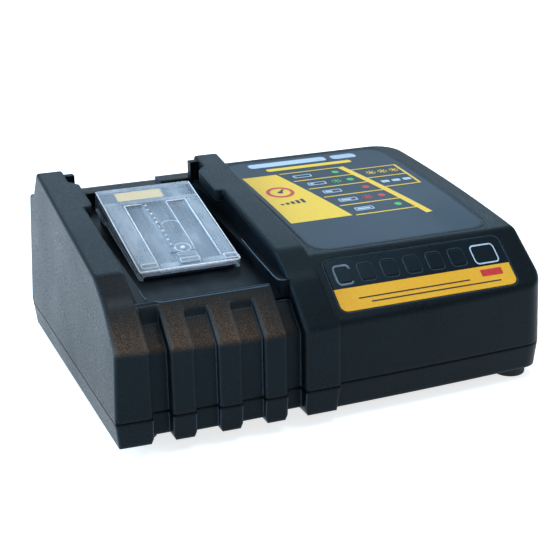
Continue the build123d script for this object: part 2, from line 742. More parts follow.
def front_cuts():
    """Straight cuts that carry the recesses and side grooves down the lower shell."""
    places = [(low, high, RECESS_DEPTH) for low, high in rib_sides()]
    places.append((WALL_L_IN, RIB_BLOCK_L, GROOVE_DEPTH))
    places.append((RIB_BLOCK_R, WALL_R_IN, GROOVE_DEPTH))
    cuts = Part()
    for low, high, depth in places:
        cut = box_between((low, high), (-FAR, FRONT_Y + 2 * GROOVE_DEPTH), (-1, UPPER_Z))
        cuts = cuts + (cut - xy_prism(plan_front(depth), -2, TOP)) + ramp(low, high, depth)
    return cuts


def ramp(x_low, x_high, depth):
    """Rising underside of the lower shell behind a recess, spreading under the ribs beside it."""
    start = FRONT_Y + depth
    high = BODY_BOTTOM_Z + RAMP_HEIGHT
    side = make_face(Polyline(
        (-FAR, -1), (-FAR, high), (start, high), (start + RAMP_LENGTH, BODY_BOTTOM_Z),
        (start + RAMP_LENGTH, -1), (-FAR, -1)))
    low_x = x_low - RAMP_SPREAD
    high_x = x_high + RAMP_SPREAD
    front = make_face(Polyline(
        (low_x, -1), (low_x, BODY_BOTTOM_Z), (x_low, high), (x_high, high),
        (high_x, BODY_BOTTOM_Z), (high_x, -1), (low_x, -1)))
    return yz_prism(side, low_x, high_x) & xz_prism(front, -FAR, FAR)


# ---------------------------------------------------------------- shared places
def slope_plane(x, y):
    """Plane on the label body's front slope; its X runs right, its Y up the slope."""
    z = BODY_BEND_Z - body_slope() * (BODY_BEND_Y - y)
    angle = math.atan(body_slope())
    return Plane(origin=(x, y, z), x_dir=(1, 0, 0), z_dir=(0, -math.sin(angle), math.cos(angle)))


def cover_plane():
    """Plane of the cover's top; origin at the middle of its rear edge, Y up the slope."""
    angle = math.radians(COVER_SLOPE_DEG)
    return Plane(
        origin=(DOCK_X, COVER_REAR_Y, COVER_REAR_Z), x_dir=(1, 0, 0),
        z_dir=(0, -math.sin(angle), math.cos(angle)))


def housing_boss_places():
    """X, Y of the screws that join the two shells."""
    wall_x = (WALL_L_OUT + WALL_L_IN + LEFT_WALL_TOP_INSET) / 2
    right_x = HALF_WIDTH - SKIN - BODY_SIDE_INSET - BOSS_R
    ridge_x = WALL_R_IN + SKIN + BOSS_R + 1
    return [
        (wall_x, BOSS_FRONT_Y), (wall_x, BOSS_REAR_Y), (right_x, BOSS_FRONT_Y),
        (right_x, BOSS_REAR_Y), (ridge_x, FRONT_Y + BOSS_TO_FRONT)]


def foot_places():
    """X, Y of the feet."""
    x_right = HALF_WIDTH - FOOT_INSET_X
    x_left = -HALF_WIDTH + FOOT_INSET_X + LEFT_FOOT_SHIFT / 2
    return [
        (x_left, FOOT_FRONT_Y + LEFT_FOOT_SHIFT), (x_left, FOOT_REAR_Y),
        (x_right, FOOT_FRONT_Y), (x_right, FOOT_REAR_Y)]


def board_post_places():
    """X, Y of the posts under the main board."""
    inset = POST_R + 1
    xs = (BOARD_LEFT_X + inset, BOARD_RIGHT_X - inset)
    ys = (BOARD_FRONT_Y + inset, BOARD_REAR_Y - inset)
    return [(x, y) for x in xs for y in ys]


def rear_face_y(z):
    """Outside of the rear wall at a height."""
    lean = (REAR_Y - BODY_REAR_Y) / (BODY_REAR_Z - PARTING_Z)
    return REAR_Y - lean * (z - PARTING_Z)


def fan_front_y():
    """Rear face of the fan frame, seated on its bosses."""
    return rear_face_y(FAN_Z) - SKIN - FAN_STANDOFF


def led_places():
    """Planes on the front slope at the indicator windows."""
    return [slope_plane(LED_FIRST_X + i * LED_PITCH, LED_Y) for i in range(LED_COUNT)]


def fan_screw_places():
    """X, Z of the fan's screws."""
    half = FAN_SIZE / 2 - FAN_HOLE_INSET
    return [(DOCK_X + i * half, FAN_Z + k * half) for i in (-1, 1) for k in (-1, 1)]


# ---------------------------------------------------------------- upper housing
def upper_housing():
    """Top shell: two dock walls, ribbed front, label body and rear sill."""
    shell = soften_wall(left_wall(0))
    shell = shell + soften_wall(right_wall(0))
    shell = shell + rounded_label_body()
    shell = shell + rib_block()
    shell = shell + front_block(WALL_L_IN - 1, WALL_R_IN + 1, GROOVE_DEPTH)
    shell = shell + sill(0)
    raised = box_between(
        (DOCK_X + SILL_STEP_X, WALL_R_IN + 1), (DOCK_REAR_Y, DOCK_REAR_Y + SILL_STEP_DEPTH),
        (REAR_SHELF_Z - SKIN, REAR_SHELF_Z + SILL_STEP_H))
    shell = shell + raised
    solid = shell
    shell = shell - left_wall(SKIN)
    shell = shell - right_wall(SKIN)
    shell = shell - round_posts(label_body(WALL_R_OUT - BODY_SINK + SKIN, SKIN), SKIN)
    shell = shell - passage()
    shell = shell - front_block(WALL_L_IN - SKIN - 1, WALL_R_IN + SKIN + 1, GROOVE_DEPTH + SKIN)
    shell = shell + crest_wall() + crest_lip()
    shell = shell - under_dock_space()
    shell = shell - sill(SKIN)
    for side in (-1, 1):
        shell = shell - liner_pocket(side)
        shell = shell + lip(side)
    for x, y in housing_boss_places():
        column = upright(x, y, UPPER_Z, TOP, BOSS_R) & solid
        shell = shell + column
        shell = shell - upright(
            x, y, UPPER_Z, SCREW_SEAT_Z + SCREW_LENGTH + 1, SCREW_R + PILOT_GAP)
    shell = shell - label_pocket() - film_pocket()
    for place in led_places():
        shell = shell - place * Box(LED_WINDOW, LED_WINDOW, 4 * SKIN)
    shell = shell - rear_vents() - side_vents()
    shell = shell + fan_bosses() - fan_pilots()
    shell = shell - inlet_cutout()
    return shell


def passage():
    """Opening between the hollows of the right dock wall and the label body."""
    hollow = label_body(WALL_R_OUT - SKIN - RIGHT_WALL_TOP_INSET, SKIN)
    return hollow & box_between((-HALF_WIDTH, WALL_R_OUT + SKIN), WORLD, (0, PASSAGE_Z))


def crest_foot_z():
    """Height of the lower end of the walls at the crest, inside the slope's skin."""
    return front_slope_z(CREST_Y, GROOVE_DEPTH + SKIN) - SKIN


def crest_wall():
    """Wall behind the crest of the ribs that the dock floor butts against."""
    front = CREST_Y - SKIN
    face = make_face(Polyline(
        (front, crest_foot_z()), (CREST_Y, crest_foot_z()),
        (CREST_Y, front_slope_z(CREST_Y, GROOVE_DEPTH)), (front, front_slope_z(front, GROOVE_DEPTH)),
        (front, crest_foot_z())))
    return yz_prism(face, WALL_L_IN - SKIN, WALL_R_IN + SKIN)


def crest_lip():
    """Thin lip that carries the crest across the left side groove to the wall."""
    front = CREST_Y - CREST_LIP_T
    face = make_face(Polyline(
        (front, crest_foot_z()), (CREST_Y, crest_foot_z()), (CREST_Y, front_slope_z(CREST_Y)),
        (front, front_slope_z(front)), (front, crest_foot_z())))
    return yz_prism(face, WALL_L_IN - 1, RIB_BLOCK_L + EDGE_R)


def under_dock_space():
    """Hollow under the dock floor, from wall to wall."""
    low_z = dock_floor_z(CREST_Y) - 2 * SKIN
    face = make_face(Polyline(
        (CREST_Y - 1, UPPER_Z), (CREST_Y - 1, low_z), (DOCK_REAR_Y, low_z),
        (DOCK_REAR_Y, UPPER_Z), (CREST_Y - 1, UPPER_Z)))
    return yz_prism(face, WALL_L_IN - SKIN - 1, WALL_R_IN + SKIN + 1)


def liner_pocket(side):
    """Room for the side of the dock liner inside a wall, below the wall's top skin."""
    face = offset(wall_profile(), amount=-SKIN)
    length = DOCK_REAR_Y - CREST_Y
    band = Pos((DOCK_REAR_Y + CREST_Y) / 2, TOP / 2) * Rectangle(length, TOP)
    wall_x = DOCK_X + side * DOCK_WIDTH / 2
    low, high = sorted((wall_x, wall_x + side * (SKIN + 1)))
    return yz_prism(face & band, low, high) & upper_half()


def label_outline(grow):
    """Outline of the main label, grown by a margin."""
    width = LABEL_RIGHT_X - LABEL_LEFT_X + 2 * grow
    depth = LABEL_BACK_Y - LABEL_FRONT_Y + 2 * grow
    centre = ((LABEL_RIGHT_X + LABEL_LEFT_X) / 2, (LABEL_BACK_Y + LABEL_FRONT_Y) / 2)
    return Pos(*centre) * RectangleRounded(width, depth, LABEL_CORNER_R + grow)


def crown_layer(drop):
    """Layer of the label body's top, drop deep."""
    low = label_profile(drop)
    return yz_prism(label_profile(-1.0) - low, WALL_R_OUT - 1, HALF_WIDTH)


def label_pocket():
    """Shallow pocket that the main label is stuck in."""
    return crown_layer(LABEL_POCKET) & xy_prism(label_outline(LABEL_GAP), 0, TOP)


def film_pocket():
    """Shallow pocket for the indicator film and the strip below it."""
    top = slope_plane(0, FILM_TOP_Y).origin
    low = slope_plane(0, FILM_LOW_Y).origin
    length = (top - low).length + 2 * FILM_GAP
    width = FILM_RIGHT_X - FILM_LEFT_X + 2 * FILM_GAP
    plane = slope_plane((FILM_LEFT_X + FILM_RIGHT_X) / 2, (FILM_TOP_Y + FILM_LOW_Y) / 2)
    return plane * extrude(RectangleRounded(width, length, FILM_CORNER_R), FILM_T, both=True)


def rear_vents():
    """Slots behind the fan."""
    slots = Part()
    count = int(FAN_SIZE / VENT_SLOT_PITCH)
    for index in range(count):
        x = DOCK_X + (index - (count - 1) / 2) * VENT_SLOT_PITCH
        slots = slots + box_between(
            (x - VENT_SLOT_W / 2, x + VENT_SLOT_W / 2), (REAR_Y - VENT_DEPTH, REAR_Y + 1),
            (FAN_Z - VENT_HALF_H, FAN_Z + VENT_HALF_H))
    return slots


def side_vents():
    """Air intake slots low in the right side."""
    slots = Part()
    for index in range(SIDE_VENT_COUNT):
        y = SIDE_VENT_FIRST_Y + index * VENT_SLOT_PITCH
        slots = slots + box_between(
            (HALF_WIDTH - VENT_DEPTH, HALF_WIDTH + 1), (y - VENT_SLOT_W / 2, y + VENT_SLOT_W / 2),
            (SIDE_VENT_Z, SIDE_VENT_Z + SIDE_VENT_H))
    return slots


def fan_bosses():
    """Four bosses inside the rear wall that carry the fan."""
    bosses = Part()
    for x, z in fan_screw_places():
        end = rear_face_y(z) - SKIN / 2
        boss = along_y(x, z, fan_front_y(), end, FAN_BOSS_R)
        bosses = bosses + boss
    return bosses


def fan_pilots():
    """Pilot holes of the fan screws, into the bosses and the rear wall."""
    pilots = Part()
    for x, z in fan_screw_places():
        end = fan_front_y() + FAN_STANDOFF
        pilots = pilots + along_y(x, z, fan_front_y() - 1, end, FAN_SCREW_R + PILOT_GAP)
    return pilots


def inlet_cutout():
    """Window for the mains inlet body and a flat seat for its flange."""
    body = box_between(
        (INLET_X - INLET_BODY_W / 2 - FIT_GAP, INLET_X + INLET_BODY_W / 2 + FIT_GAP),
        (REAR_Y - 20, REAR_Y + 5),
        (INLET_Z - INLET_BODY_H / 2 - FIT_GAP, INLET_Z + INLET_BODY_H / 2 + FIT_GAP))
    seat = box_between(
        (INLET_X - INLET_FLANGE_W / 2 - FIT_GAP, INLET_X + INLET_FLANGE_W / 2 + FIT_GAP),
        (INLET_SEAT_Y, REAR_Y + 5),
        (INLET_Z - INLET_FLANGE_H / 2 - FIT_GAP, INLET_Z + INLET_FLANGE_H / 2 + FIT_GAP))
    return body + seat


# ---------------------------------------------------------------- lower housing
def inner_plan(inset):
    """Plan of the space inside the lower shell's wall, inset from the footprint."""
    rear = REAR_Y - inset
    low = WALL_L_IN - inset
    high = WALL_R_IN + inset
    face = plan_front(inset, WALL_L_OUT + inset, low, rear)
    face = face + plan_front(GROOVE_DEPTH + inset, low, high, rear)
    face = face + plan_front(inset, high, WALL_R_OUT - inset, rear)
    face = face + plan_front(
        LABEL_FRONT_STEP + inset, WALL_R_OUT - inset, HALF_WIDTH - inset, rear)
    right = [v for v in face.vertices() if v.X > HALF_WIDTH - inset - 0.01]
    face = fillet([v for v in right if v.Y > 0], LABEL_REAR_CORNER_R - inset)
    right = [v for v in face.vertices() if v.X > HALF_WIDTH - inset - 0.01 and v.Y < 0]
    return fillet(right, LABEL_FRONT_CORNER_R - inset)


def lower_housing():
    """Bottom pan with tongue, screw bosses, board posts, vents and foot seats."""
    side_h = PARTING_Z - BODY_BOTTOM_Z
    lean = math.degrees(math.atan(BOTTOM_TUCK / side_h))
    pan = extrude(Plane.XY.offset(PARTING_Z) * footprint(), amount=-side_h, taper=lean)
    pan = pan - front_cuts()
    ribbed = [
        e for e in pan.edges()
        if e.bounding_box().size.Z > side_h - 0.5 and e.center().Y < FRONT_Y + 2 * GROOVE_DEPTH
        and e.center().X < WALL_R_OUT + 1]
    pan = fillet(ribbed, RIB_EDGE_R)
    tongue = inner_plan(SKIN + TONGUE_GAP)
    inner = inner_plan(SKIN + TONGUE_GAP + TONGUE_T)
    pan = pan + xy_prism(tongue, PARTING_Z - 1, PARTING_Z + TONGUE_HEIGHT)
    pan = pan - xy_prism(inner, BODY_BOTTOM_Z + SKIN, TOP)
    floor_z = BODY_BOTTOM_Z + SKIN
    for x, y in housing_boss_places():
        pan = pan + upright(x, y, floor_z - 1, UPPER_Z, LOWER_BOSS_R)
        pan = pan - upright(x, y, 0, SCREW_SEAT_Z, SCREW_HEAD_R + FIT_GAP)
        pan = pan - upright(x, y, 0, TOP, SCREW_CLEAR_R)
    for x, y in board_post_places():
        pan = pan + upright(x, y, floor_z - 1, BOARD_Z, POST_R)
        pan = pan - upright(x, y, floor_z, TOP, BOARD_SCREW_R + PILOT_GAP)
    for x, y in foot_places():
        pan = pan - upright(x, y, 0, BODY_BOTTOM_Z + FOOT_EMBED, FOOT_R + FOOT_CLEAR)
    for index in range(BASE_VENT_COUNT):
        y = BASE_VENT_FIRST_Y + index * VENT_SLOT_PITCH
        pan = pan - box_between(
            (BASE_VENT_X - BASE_VENT_LENGTH / 2, BASE_VENT_X + BASE_VENT_LENGTH / 2),
            (y - VENT_SLOT_W / 2, y + VENT_SLOT_W / 2), (0, floor_z + 1))
    return pan


# ---------------------------------------------------------------- dock liner
def dock_liner():
    """Glossy tray in the dock: sloping floor, side walls, ledges and rear upstand."""
    front = CREST_Y + FIT_GAP
    rear = DOCK_REAR_Y - FIT_GAP
    under = DOCK_LINER_T
    floor = make_face(Polyline(
        (front, dock_floor_z(front)), (rear, dock_floor_z(rear)),
        (rear, dock_floor_z(rear) - under), (front, dock_floor_z(front) - under),
        (front, dock_floor_z(front))))
    tray = yz_prism(floor, WALL_L_IN - DOCK_LINER_T, WALL_R_IN + DOCK_LINER_T)
    tray = tray + box_between(
        (WALL_L_IN, WALL_R_IN), (rear - DOCK_LINER_T, rear), (dock_floor_z(rear) - 1, REAR_SHELF_Z))
    for side in (-1, 1):
        tray = tray + liner_side(side, front, rear)
        tray = tray + ledge(side, front, rear)
        tray = tray + liner_post(side)
    for plane in terminal_planes():
        tray = tray - plane * tab_hole(TAB_CLEAR)
    return tray


def liner_side(side, front, rear):
    """Side wall of the tray, with its top under the wall's skin and around the lip."""
    face = offset(wall_profile(), amount=-(SKIN + FIT_GAP))
    sheet = make_face(Polyline(
        (front, dock_floor_z(front) - DOCK_LINER_T), (rear, dock_floor_z(rear) - DOCK_LINER_T),
        (rear, TOP), (front, TOP), (front, dock_floor_z(front) - DOCK_LINER_T)))
    low_y = LIP_LOW_Y - FIT_GAP
    high_y = LIP_HIGH_Y + LIP_REACH + FIT_GAP
    drop = LIP_THICKNESS + FIT_GAP
    notch = make_face(Polyline(
        (low_y, wall_top_z(low_y) - drop), (high_y, wall_top_z(high_y) - drop),
        (high_y, TOP), (low_y, TOP), (low_y, wall_top_z(low_y) - drop)))
    wall_x = DOCK_X + side * DOCK_WIDTH / 2
    low, high = sorted((wall_x, wall_x + side * DOCK_LINER_T))
    return yz_prism((face & sheet) - notch, low, high)


def ledge_top_z(y):
    """Height of the ledges' top at y; it starts level with the crest."""
    return front_slope_z(CREST_Y) + LEDGE_SLOPE * (y - CREST_Y)


def ledge(side, front, rear):
    """Ledge along the foot of a dock wall, with a rounded nose at the crest."""
    wall_x = DOCK_X + side * DOCK_WIDTH / 2
    low, high = sorted((wall_x, wall_x - side * LEDGE_WIDTH))
    face = make_face(Polyline(
        (front, dock_floor_z(front) - 1), (rear, dock_floor_z(rear) - 1), (rear, ledge_top_z(rear)),
        (front, ledge_top_z(front)), (front, dock_floor_z(front) - 1)))
    bar = yz_prism(face, low, high)
    nose = [
        e for e in bar.edges()
        if abs(e.center().Y - front) < FIT_GAP and e.bounding_box().size.Z > 2
        and side * (wall_x - e.center().X) > 1]
    return fillet(nose, LEDGE_NOSE_R)


def liner_post(side):
    """Small guide post beside a horn."""
    wall_x = DOCK_X + side * DOCK_WIDTH / 2
    low, high = sorted((wall_x - side * FIT_GAP, wall_x - side * POST_REACH))
    post = box_between((low, high), POST_Y, POST_Z)
    low, high = sorted((wall_x - side, wall_x + side))
    return post + box_between((low, high), POST_Y, (POST_Z[0], POST_Z[0] + POST_REACH))


# ---------------------------------------------------------------- terminals
def terminal_offsets():
    """Distances of the terminals from the dock's middle: minus, signals, plus."""
    half = (SIGNAL_TERMINAL_COUNT - 1) / 2
    signals = [(i - half) * SIGNAL_TERMINAL_PITCH for i in range(SIGNAL_TERMINAL_COUNT)]
    return [-POWER_TERMINAL_X] + signals + [POWER_TERMINAL_X]


def terminal_planes():
    """Cover planes moved sideways and down the slope to the middle of each terminal."""
    middle = -(TERMINAL_SLOT_S + TERMINAL_SLOT_LENGTH / 2)
    return [cover_plane() * Pos(w, middle, 0) for w in terminal_offsets()]


def block_top():
    """Depth of the terminal block's top below the cover's top."""
    return COVER_T + COVER_GAP


def tab_hole(clear):
    """Shape of a terminal's solder tab, grown by a clearance, in a terminal plane."""
    length = 2 * (BLOCK_DROP + TAB_DROP)
    return Box(TERMINAL_T + 2 * clear, TAB_WIDTH + 2 * clear, length)


def terminal_block():
    """Insulating block with a slot for each terminal and side grooves for the cover."""
    plane = cover_plane()
    length = BLOCK_FRONT_S - BLOCK_REAR_S
    middle = (BLOCK_FRONT_S + BLOCK_REAR_S) / 2
    block = plane * Pos(0, -middle, -TOP / 2 - block_top()) * Box(BLOCK_WIDTH, length, TOP)
    front = FRONT_Y
    rear = REAR_Y
    above = make_face(Polyline(
        (front, dock_floor_z(front)), (rear, dock_floor_z(rear)), (rear, TOP), (front, TOP),
        (front, dock_floor_z(front))))
    block = block & yz_prism(above, WALL_L_IN, WALL_R_IN)
    roof = block.faces().sort_by(Axis(plane.origin, plane.z_dir))[-1]
    block = chamfer(roof.edges(), BLOCK_CHAMFER)
    for place in terminal_planes():
        depth = block_top() + TERMINAL_SLOT_DEPTH
        slot = Box(TERMINAL_SLOT_W, TERMINAL_SLOT_LENGTH, 2 * depth)
        block = block - place * slot
        block = block - place * Box(
            TERMINAL_T, TERMINAL_SLOT_LENGTH - 2 * TERMINAL_T, 2 * (depth + TERMINAL_T))
        block = block - place * tab_hole(0)
    groove_end = RAIL_END_S + RAIL_STOP_GAP
    for side in (-1, 1):
        outer = BLOCK_WIDTH / 2 + 1
        inner = COVER_WIDTH / 2 - COVER_SKIRT_T - RAIL_DEPTH - RAIL_GAP
        groove = Box(outer - inner, groove_end + RAIL_MOUTH, RAIL_HEIGHT + 2 * RAIL_GAP)
        at = Pos(
            side * (outer + inner) / 2, (RAIL_MOUTH - groove_end) / 2, -RAIL_DROP - RAIL_HEIGHT / 2)
        block = block - plane * at * groove
    return block


def blade(place):
    """Blade contact standing in its slot, with a solder tab through the block."""
    top = block_top() + TERMINAL_SINK
    low = block_top() + TERMINAL_SLOT_DEPTH + TERMINAL_T
    length = TERMINAL_SLOT_LENGTH - 2 * TERMINAL_T
    plate = Pos(0, 0, -(top + low) / 2) * Box(TERMINAL_T, length, low - top)
    edge = [e for e in plate.edges() if e.center().Z > -top - 0.01 and e.length > TAB_WIDTH]
    plate = chamfer(edge, TERMINAL_T / 3)
    end = BLOCK_DROP + TAB_DROP
    tab = Pos(0, 0, -(low - 1 + end) / 2) * Box(TERMINAL_T, TAB_WIDTH, end - low + 1)
    return place * (plate + tab)


def positive_terminal():
    """Right power terminal."""
    return blade(terminal_planes()[-1])


def negative_terminal():
    """Left power terminal."""
    return blade(terminal_planes()[0])


def signal_terminals():
    """Row of small terminals between the power terminals."""
    row = Part()
    for place in terminal_planes()[1:-1]:
        row = row + blade(place)
    return row


# ---------------------------------------------------------------- sliding cover
def skirt_face():
    """Side view of a cover skirt in (distance down the slope, height)."""
    step = COVER_SKIRT_REAR - COVER_SKIRT_STEP / 2
    return make_face(Polyline(
        (0, 0), (0, -COVER_SKIRT_REAR), (-COVER_BAND, -step),
        (-COVER_BAND, -step + COVER_SKIRT_STEP), (-COVER_LENGTH, -COVER_SKIRT_FRONT),
        (-COVER_LENGTH, 0), (0, 0)))


def protective_cover():
    """Clear cover that slides over the terminals, with ribs, grip lips and side rails."""
    half = COVER_WIDTH / 2
    plate = Pos(0, -COVER_LENGTH / 2, -COVER_T / 2) * Box(COVER_WIDTH, COVER_LENGTH, COVER_T)
    for side in (-1, 1):
        low, high = sorted((side * half, side * (half - COVER_SKIRT_T)))
        plate = plate + extrude(Plane.YZ.offset(low) * skirt_face(), amount=high - low)
    corners = [
        e for e in plate.edges()
        if abs(abs(e.center().X) - half) < 0.01 and e.bounding_box().size.Y < 0.01
        and abs(e.center().Y + COVER_LENGTH / 2) > COVER_LENGTH / 2 - 0.01]
    plate = fillet(corners, COVER_CORNER_R)
    rim = [e for e in plate.edges() if abs(e.center().Z) < 0.001]
    plate = fillet(rim, COVER_RIM_R)
    for low, high in COVER_PANELS:
        length = COVER_LENGTH - COVER_BAND + 1
        cut = Box(high - low, length, 2 * COVER_PANEL_DROP)
        plate = plate - Pos((low + high) / 2, -COVER_BAND - length / 2, 0) * cut
    ridge_low = COVER_PANELS[0][1]
    ridge_high = COVER_PANELS[1][0]
    end = Box(ridge_high - ridge_low + 0.02, COVER_LENGTH - COVER_RIDGE_END + 1, 2 * COVER_PANEL_DROP)
    middle = (ridge_low + ridge_high) / 2
    plate = plate - Pos(middle, -(COVER_LENGTH + COVER_RIDGE_END + 1) / 2, 0) * end
    for low, high, start, stop in COVER_LIPS:
        floor = -COVER_PANEL_DROP if low > COVER_PANELS[0][0] and high < COVER_PANELS[1][1] else 0
        bar = Box(high - low, stop - start, COVER_LIP_H - floor + COVER_LIP_ROOT)
        bar = fillet(bar.edges().filter_by(Axis.Z), COVER_LIP_R)
        centre = ((low + high) / 2, -(start + stop) / 2, (COVER_LIP_H + floor - COVER_LIP_ROOT) / 2)
        plate = plate + Pos(*centre) * bar
    plate = plate - label_on_cover(COVER_LABEL_GAP, COVER_LABEL_T)
    for side in (-1, 1):
        outer = half - COVER_SKIRT_T / 2
        inner = half - COVER_SKIRT_T - RAIL_DEPTH
        rail = Box(outer - inner, RAIL_END_S - BLOCK_REAR_S, RAIL_HEIGHT)
        at = Pos(
            side * (outer + inner) / 2, -(RAIL_END_S + BLOCK_REAR_S) / 2,
            -RAIL_DROP - RAIL_HEIGHT / 2)
        plate = plate + at * rail
    return cover_plane() * plate


def label_on_cover(grow, depth):
    """Small rectangle on the cover's rear band, depth thick, in the cover's own plane."""
    width = COVER_LABEL_W[1] - COVER_LABEL_W[0] + 2 * grow
    length = COVER_LABEL_S[1] - COVER_LABEL_S[0] + 2 * grow
    centre = (sum(COVER_LABEL_W) / 2, -sum(COVER_LABEL_S) / 2)
    return Pos(*centre, -depth) * extrude(Rectangle(width, length), depth + grow)


def cover_label():
    """Blank yellow label in a shallow pocket of the cover."""
    return cover_plane() * label_on_cover(0, COVER_LABEL_T)


# ---------------------------------------------------------------- labels and indicators
def main_label():
    """Large label on the crown of the label body."""
    sheet = label_profile(LABEL_POCKET - LABEL_FLOAT - LABEL_T)
    sheet = sheet - label_profile(LABEL_POCKET - LABEL_FLOAT)
    return yz_prism(sheet, WALL_R_OUT, HALF_WIDTH) & xy_prism(label_outline(0), 0, TOP)


def slope_panel(top_y, low_y):
    """Flat piece of the film stack between two Y positions on the front slope."""
    top = slope_plane(0, FILM_TOP_Y).origin
    low = slope_plane(0, FILM_LOW_Y).origin
    plane = slope_plane((FILM_LEFT_X + FILM_RIGHT_X) / 2, (FILM_TOP_Y + FILM_LOW_Y) / 2)
    face = RectangleRounded(FILM_RIGHT_X - FILM_LEFT_X, (top - low).length, FILM_CORNER_R)
    sheet = plane * extrude(face, -FILM_T)
    return sheet & box_between(WORLD, (low_y, top_y), (0, TOP))


def indicator_film():
    """Dark film over the indicator lights with a raised pad at each light."""
    film = slope_panel(FILM_TOP_Y + 1, STRIP_TOP_Y)
    for place in led_places():
        pad = extrude(RectangleRounded(LED_WINDOW, LED_WINDOW, LED_WINDOW_R), LED_PAD_H)
        film = film + place * pad
    return film


def front_strip():
    """Coloured strip below the indicator film."""
    return slope_panel(STRIP_TOP_Y - FIT_GAP, FILM_LOW_Y - 1)


def light_guide_top():
    """Depth of the light guide's plate below the slope."""
    return SKIN + FIT_GAP


def row_length():
    """Length of the row of indicator lights with its margins."""
    return (LED_COUNT - 1) * LED_PITCH + 2 * GUIDE_MARGIN


def row_plane():
    """Plane on the front slope at the middle of the indicator row."""
    return slope_plane(LED_FIRST_X + (LED_COUNT - 1) * LED_PITCH / 2, LED_Y)


def led_top():
    """Depth of the top of the indicator lights."""
    return light_guide_top() + GUIDE_T + TOUCH_GAP


def indicator_light_guide():
    """Clear bar whose posts carry light up to the film, with two feet on the board."""
    top = light_guide_top()
    bar = Pos(0, 0, -top - GUIDE_T / 2) * Box(row_length(), LED_WINDOW + 2 * GUIDE_RIM, GUIDE_T)
    foot_h = led_top() + LED_H - top
    for side in (-1, 1):
        x = side * (row_length() - GUIDE_FOOT_W) / 2
        bar = bar + Pos(x, 0, -top - foot_h / 2) * Box(GUIDE_FOOT_W, LED_WINDOW, foot_h)
    guide = row_plane() * bar
    size = LED_WINDOW - 2 * TOUCH_GAP
    height = top + GUIDE_ROOT - FILM_T - FIT_GAP
    for place in led_places():
        guide = guide + place * Pos(0, 0, -top - GUIDE_ROOT + height / 2) * Box(size, size, height)
    return guide


def indicator_leds():
    """Row of small lights on the indicator board."""
    leds = Part()
    for place in led_places():
        lens = Pos(0, 0, -led_top() - LED_H / 2) * Box(LED_SIZE, LED_SIZE, LED_H)
        lens = chamfer(lens.edges().group_by(Axis.Z)[-1], LED_CHAMFER)
        leds = leds + place * lens
    return leds


def indicator_board():
    """Narrow circuit board under the front slope."""
    z = -led_top() - LED_H - INDICATOR_BOARD_T / 2
    board = Box(row_length(), LED_WINDOW + 2 * INDICATOR_BOARD_RIM, INDICATOR_BOARD_T)
    return row_plane() * Pos(0, 0, z) * board


# ---------------------------------------------------------------- main board and parts on it
def board_top():
    """Height of the main board's upper face."""
    return BOARD_Z + BOARD_T


def main_board():
    """Main circuit board on four posts."""
    board = box_between(
        (BOARD_LEFT_X, BOARD_RIGHT_X), (BOARD_FRONT_Y, BOARD_REAR_Y), (BOARD_Z, board_top()))
    board = fillet(board.edges().filter_by(Axis.Z), BOARD_CORNER_R)
    for x, y in board_post_places():
        board = board - upright(x, y, BOARD_Z, board_top(), BOARD_SCREW_R + FIT_GAP)
    return board


def cross_slots(x, y, reach, width, z_low, z_high):
    """Two crossed slots cut from above."""
    one = box_between((x - reach, x + reach), (y - width / 2, y + width / 2), (z_low, z_high))
    other = box_between((x - width / 2, x + width / 2), (y - reach, y + reach), (z_low, z_high))
    return one + other


def screw_down(x, y, z, radius, length):
    """Pan head screw seen from above, seated at z."""
    head = upright(x, y, z, z + radius * 1.4, radius * 2)
    head = fillet(head.edges().group_by(Axis.Z)[-1], radius / 2)
    slots = cross_slots(x, y, radius, CROSS_SLOT_W, z + radius, z + radius * 2)
    return head + upright(x, y, z - length, z, radius) - slots


def board_screws():
    """Four screws through the main board into its posts."""
    screws = Part()
    for x, y in board_post_places():
        screws = screws + screw_down(x, y, board_top(), BOARD_SCREW_R, BOARD_SCREW_LENGTH)
    return screws


def core_width():
    """Width of the transformer core across its three legs."""
    return 2 * CORE_LEG + 2 * CORE_WINDOW


def transformer_core():
    """Ferrite core with two windows beside a centre leg."""
    x, y = TRANSFORMER_AT
    low = board_top() + CORE_STANDOFF
    half = core_width() / 2
    core = box_between(
        (x - half, x + half), (y - CORE_DEPTH / 2, y + CORE_DEPTH / 2),
        (low, low + CORE_HEIGHT))
    for side in (-1, 1):
        near, far = sorted((side * CORE_LEG / 2, side * (CORE_LEG / 2 + CORE_WINDOW)))
        core = core - box_between(
            (x + near, x + far), (y - CORE_DEPTH, y + CORE_DEPTH),
            (low + CORE_LEG / 2, low + CORE_HEIGHT - CORE_LEG / 2))
    return core


